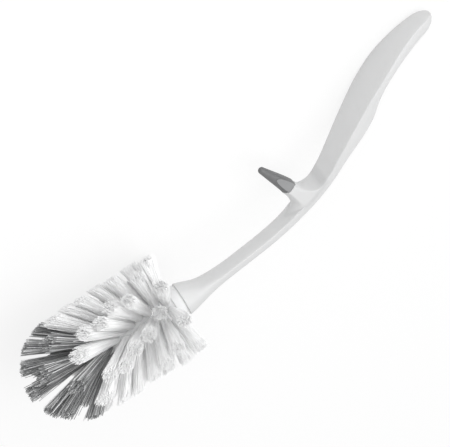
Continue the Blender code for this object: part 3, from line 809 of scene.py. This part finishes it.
random = np.random.default_rng(tuftMaking["noseSeed"])
noseStart = headSizes["shoulderLength"] + sliceCount * headSizes["slicePitch"] + headSizes["gap"]
noseEnd = noseStart + headSizes["noseLength"]
noseMiddle = noseStart + headSizes["noseLength"] / 2
noseRadius = (float(coreRadius(noseStart)) + headSizes["noseFrontDiameter"] / 2) / 2
noseRadius -= headSizes["noseRootSink"]
noseSlope = headSizes["noseRootSlope"]
look = bristleLook["nose"]
shifts = random.normal(0, look["wander"], (2, noseRing[0], 1))
ringRoots, ringTips = tuftRing(noseMiddle, noseRadius, noseSlope, noseRing, look, shifts, random)
aheadRoots, aheadTips = frontTuft(noseEnd - headSizes["frontRootSink"], look, random)
body = tuftBodies(noseMiddle, noseRadius, noseSlope, noseRing, look, shifts, random)
roots, tips = np.concatenate([ringRoots, aheadRoots]), np.concatenate([ringTips, aheadTips])
putBristles("greyNoseBristles", roots, tips, body, look, greyFilament,
            "grey_bristle", "grey_nose_tufts", random)


# Core: spigot, shoulder, tapered middle with a dimple for each tuft, and a rounded nose

coreSurface = {
    "spigotMiddleShare": 0.3,  # of the spigot, for the ring that closes its end
    "noseMiddleShare": 0.2,
    "mouthGap": 0.00004,  # from the bell's mouth to the groove
    "taperStart": 0.0002,  # beyond the shoulder
    "dimpleStart": 0.0003,
    "rimHeight": 0.00028,
    "rimRadius": 0.0025,
    "rimWidth": 0.00035,
    "holeDepth": 0.0007,
    "holeRadius": 0.0021,
    "holeEdge": 0.00012,
    "edgeTurns": np.radians((0, 18, 36, 54, 72, 90)),
    "domeShares": np.linspace(0.02, 1, 16),
    "rows": 190,
    "columns": 180,
}


def coreProfile():
    # places along the axis and radii, from the middle of the spigot's end to the middle of the nose
    spigot, shoulder = headSizes["spigotDiameter"] / 2, headSizes["shoulderDiameter"] / 2
    groove, rounding = headSizes["grooveDiameter"] / 2, headSizes["shoulderRound"]
    back, gap, end = -headSizes["spigotLength"], headSizes["gap"], headSizes["shoulderLength"]
    mouth, turns = coreSurface["mouthGap"], coreSurface["edgeTurns"]
    start = [(back, coreSurface["spigotMiddleShare"] * spigot), (back, spigot - rounding),
             (back + rounding, spigot), (mouth, spigot), (mouth, groove), (gap, groove)]
    start += [(gap + rounding * (1 - np.cos(a)), shoulder - rounding * (1 - np.sin(a))) for a in turns]
    start += [(end - rounding * (1 - np.sin(a)), shoulder - rounding * (1 - np.cos(a))) for a in turns]
    startPlace, startRadius = np.array(start).T
    taper = np.linspace(end + coreSurface["taperStart"], noseStart, coreSurface["rows"])
    turn = coreSurface["domeShares"] * np.pi / 2
    tip, domeRoot = headSizes["noseFrontDiameter"] / 2, coreRadius(noseStart)
    dome = noseStart + (noseEnd - noseStart) * np.sin(turn)
    domeRadius = tip + (domeRoot - tip) * np.cos(turn)
    place = np.concatenate([startPlace, taper, dome, [noseEnd]])
    endRadius = coreSurface["noseMiddleShare"] * tip
    radius = np.concatenate([startRadius, coreRadius(taper), domeRadius, [endRadius]])
    return place[:, None], radius[:, None]


def coreRings():
    # the turned profile, pressed in by a smooth step inside each tuft's hole, and raised around it
    # by a bell curve over the distance from the hole's rim
    angle = 2 * np.pi * np.arange(coreSurface["columns"]) / coreSurface["columns"]
    place, radius = coreProfile()
    push = np.zeros_like(place * angle)
    for tuftPlace, tuftRadius, tuftAngle in tuftPlaces:
        turned = (angle - tuftAngle + np.pi) % (2 * np.pi) - np.pi
        distance = np.hypot(place - tuftPlace, turned * tuftRadius)
        fromRim = (distance - coreSurface["rimRadius"]) / coreSurface["rimWidth"]
        outOfHole = (distance - coreSurface["holeRadius"]) / coreSurface["holeEdge"]
        push += coreSurface["rimHeight"] * np.exp(-fromRim ** 2)
        push -= coreSurface["holeDepth"] / (1 + np.exp(outOfHole))
    push = np.where(place > headSizes["shoulderLength"] + coreSurface["dimpleStart"], push, 0)
    return headPoint(place + 0 * push, radius + push, angle + 0 * push)


putPiece("brushCore", *closedSkin(coreRings()), corePlastic, "white_core_plastic", ["brush_core"])


# Floor, light and camera

stageLook = {
    "floorSize": 6.0,
    "floorColour": (0.86, 0.86, 0.86),
    "floorGlow": 0.80,  # share of white in what the camera sees of the floor
    "worldLight": 0.70,
    "floorRoughness": 0.9,
    "floorGloss": 0.1,
    "lamps": {
        "key": {"power": 6.6, "size": 1.1, "place": (0.60, -0.10, 1.15), "aim": (0, 0, 0.03)},
        "fill": {"power": 1.9, "size": 1.2, "place": (1.10, 0.70, 0.45), "aim": (0, 0, 0.03)},
        "headFill": {"power": 0.56, "size": 0.40, "place": (0.02, 0.24, 0.28), "aim": (-0.10, 0, 0.03)},
    },
}


def seenRays(nodes, links):
    # 1 for a ray that shows the background: from the camera, in a reflection, or through glass
    rays = nodes.new("ShaderNodeLightPath")
    soFar = rays.outputs["Is Camera Ray"]
    for kind in ("Is Glossy Ray", "Is Transmission Ray"):
        larger = nodes.new("ShaderNodeMath")
        larger.operation = "MAXIMUM"
        links.new(soFar, larger.inputs[0])
        links.new(rays.outputs[kind], larger.inputs[1])
        soFar = larger.outputs[0]
    return soFar


def makeFloor():
    # a pale floor that the camera sees almost white, and that still takes the brush's soft shadow
    size = stageLook["floorSize"] / 2
    mesh = bpy.data.meshes.new("floor")
    corners = [(-size, -size, 0), (size, -size, 0), (size, size, 0), (-size, size, 0)]
    mesh.from_pydata(corners, [], [(0, 1, 2, 3)])
    floor = bpy.data.objects.new("floor", mesh)
    bpy.context.scene.collection.objects.link(floor)
    material, nodes, links, shader = startMaterial("paleFloor")
    shader.inputs["Base Color"].default_value = (*stageLook["floorColour"], 1)
    shader.inputs["Roughness"].default_value = stageLook["floorRoughness"]
    shader.inputs["Specular IOR Level"].default_value = stageLook["floorGloss"]
    glow = nodes.new("ShaderNodeEmission")
    glow.inputs["Color"].default_value = (1, 1, 1, 1)
    amount = nodes.new("ShaderNodeMath")
    amount.operation = "MULTIPLY"
    amount.inputs[1].default_value = stageLook["floorGlow"]
    mix = nodes.new("ShaderNodeMixShader")
    links.new(seenRays(nodes, links), amount.inputs[0])
    links.new(amount.outputs[0], mix.inputs["Fac"])
    links.new(shader.outputs["BSDF"], mix.inputs[1])
    links.new(glow.outputs["Emission"], mix.inputs[2])
    links.new(mix.outputs["Shader"], nodes["Material Output"].inputs["Surface"])
    mesh.materials.append(material)


def makeWorld():
    # even white light on the brush, and white behind everything for the camera
    world = bpy.data.worlds.new("studio")
    bpy.context.scene.world = world
    world.use_nodes = True
    nodes, links = world.node_tree.nodes, world.node_tree.links
    light = nodes["Background"]
    light.inputs["Color"].default_value = (1, 1, 1, 1)
    light.inputs["Strength"].default_value = stageLook["worldLight"]
    white = nodes.new("ShaderNodeBackground")
    white.inputs["Color"].default_value = (1, 1, 1, 1)
    white.inputs["Strength"].default_value = 1
    mix = nodes.new("ShaderNodeMixShader")
    links.new(seenRays(nodes, links), mix.inputs["Fac"])
    links.new(light.outputs["Background"], mix.inputs[1])
    links.new(white.outputs["Background"], mix.inputs[2])
    links.new(mix.outputs["Shader"], nodes["World Output"].inputs["Surface"])


def makeLamps():
    # a broad soft lamp above the brush to the right, and weaker ones from the front right and in
    # front of the head
    for name, lampLook in stageLook["lamps"].items():
        lamp = bpy.data.lights.new(name, "AREA")
        lamp.energy = lampLook["power"]
        lamp.size = lampLook["size"]
        holder = bpy.data.objects.new(name, lamp)
        holder.location = lampLook["place"]
        aim = Vector(lampLook["aim"]) - holder.location
        holder.rotation_euler = aim.to_track_quat("-Z", "Y").to_euler()
        bpy.context.scene.collection.objects.link(holder)


cameraFit = {
    "tilt": np.radians(42),
    "sideways": np.radians(-4.2),
    "roll": np.radians(32.3),
    "metresPerPixel": 0.0005466,
    "seamPixel": (181.3, 299.3),  # the middle of the seam in the photograph
    "nearness": 0.46,  # one over the distance in metres
    "frame": (450, 447),
    "sensor": 36.0,
    "farthest": 50,
}


def makeCamera():
    # the photograph's view: where the camera stands from the seam, how it rolls, and where the
    # seam lies in the picture; it is then aimed at the picture's centre, so it needs no shift
    tilt, sideways, roll = cameraFit["tilt"], cameraFit["sideways"], cameraFit["roll"]
    back = np.array((np.sin(sideways), -np.cos(tilt) * np.cos(sideways), np.sin(tilt) * np.cos(sideways)))
    right = np.array((1, 0, 0)) - back * back[0]
    right /= np.linalg.norm(right)
    up = np.cross(back, right)
    right, up = right * np.cos(roll) - up * np.sin(roll), right * np.sin(roll) + up * np.cos(roll)
    right, up, back = restTurn @ right, restTurn @ up, restTurn @ back
    distance = 1 / cameraFit["nearness"]
    focal = distance / cameraFit["metresPerPixel"]
    width, height = cameraFit["frame"]
    offRight = width / 2 - cameraFit["seamPixel"][0]
    offUp = cameraFit["seamPixel"][1] - height / 2
    aim = right * offRight + up * offUp - back * focal
    newBack = -aim / np.linalg.norm(aim)
    newRight = right - newBack * (right @ newBack)
    newRight /= np.linalg.norm(newRight)
    newUp = np.cross(newBack, newRight)
    place = restSeam + back * distance
    matrix = np.eye(4)
    matrix[:3, 0], matrix[:3, 1], matrix[:3, 2], matrix[:3, 3] = newRight, newUp, newBack, place
    data = bpy.data.cameras.new("photoCamera")
    data.sensor_width = cameraFit["sensor"]
    data.sensor_fit = "HORIZONTAL"
    data.lens = focal * cameraFit["sensor"] / width
    data.clip_end = cameraFit["farthest"]
    camera = bpy.data.objects.new("photoCamera", data)
    camera.matrix_world = Matrix(matrix.tolist())
    bpy.context.scene.collection.objects.link(camera)
    bpy.context.scene.camera = camera


makeFloor()
makeWorld()
makeLamps()
makeCamera()
bpy.context.scene.view_settings.view_transform = "Standard"
print("stage, light and camera made")
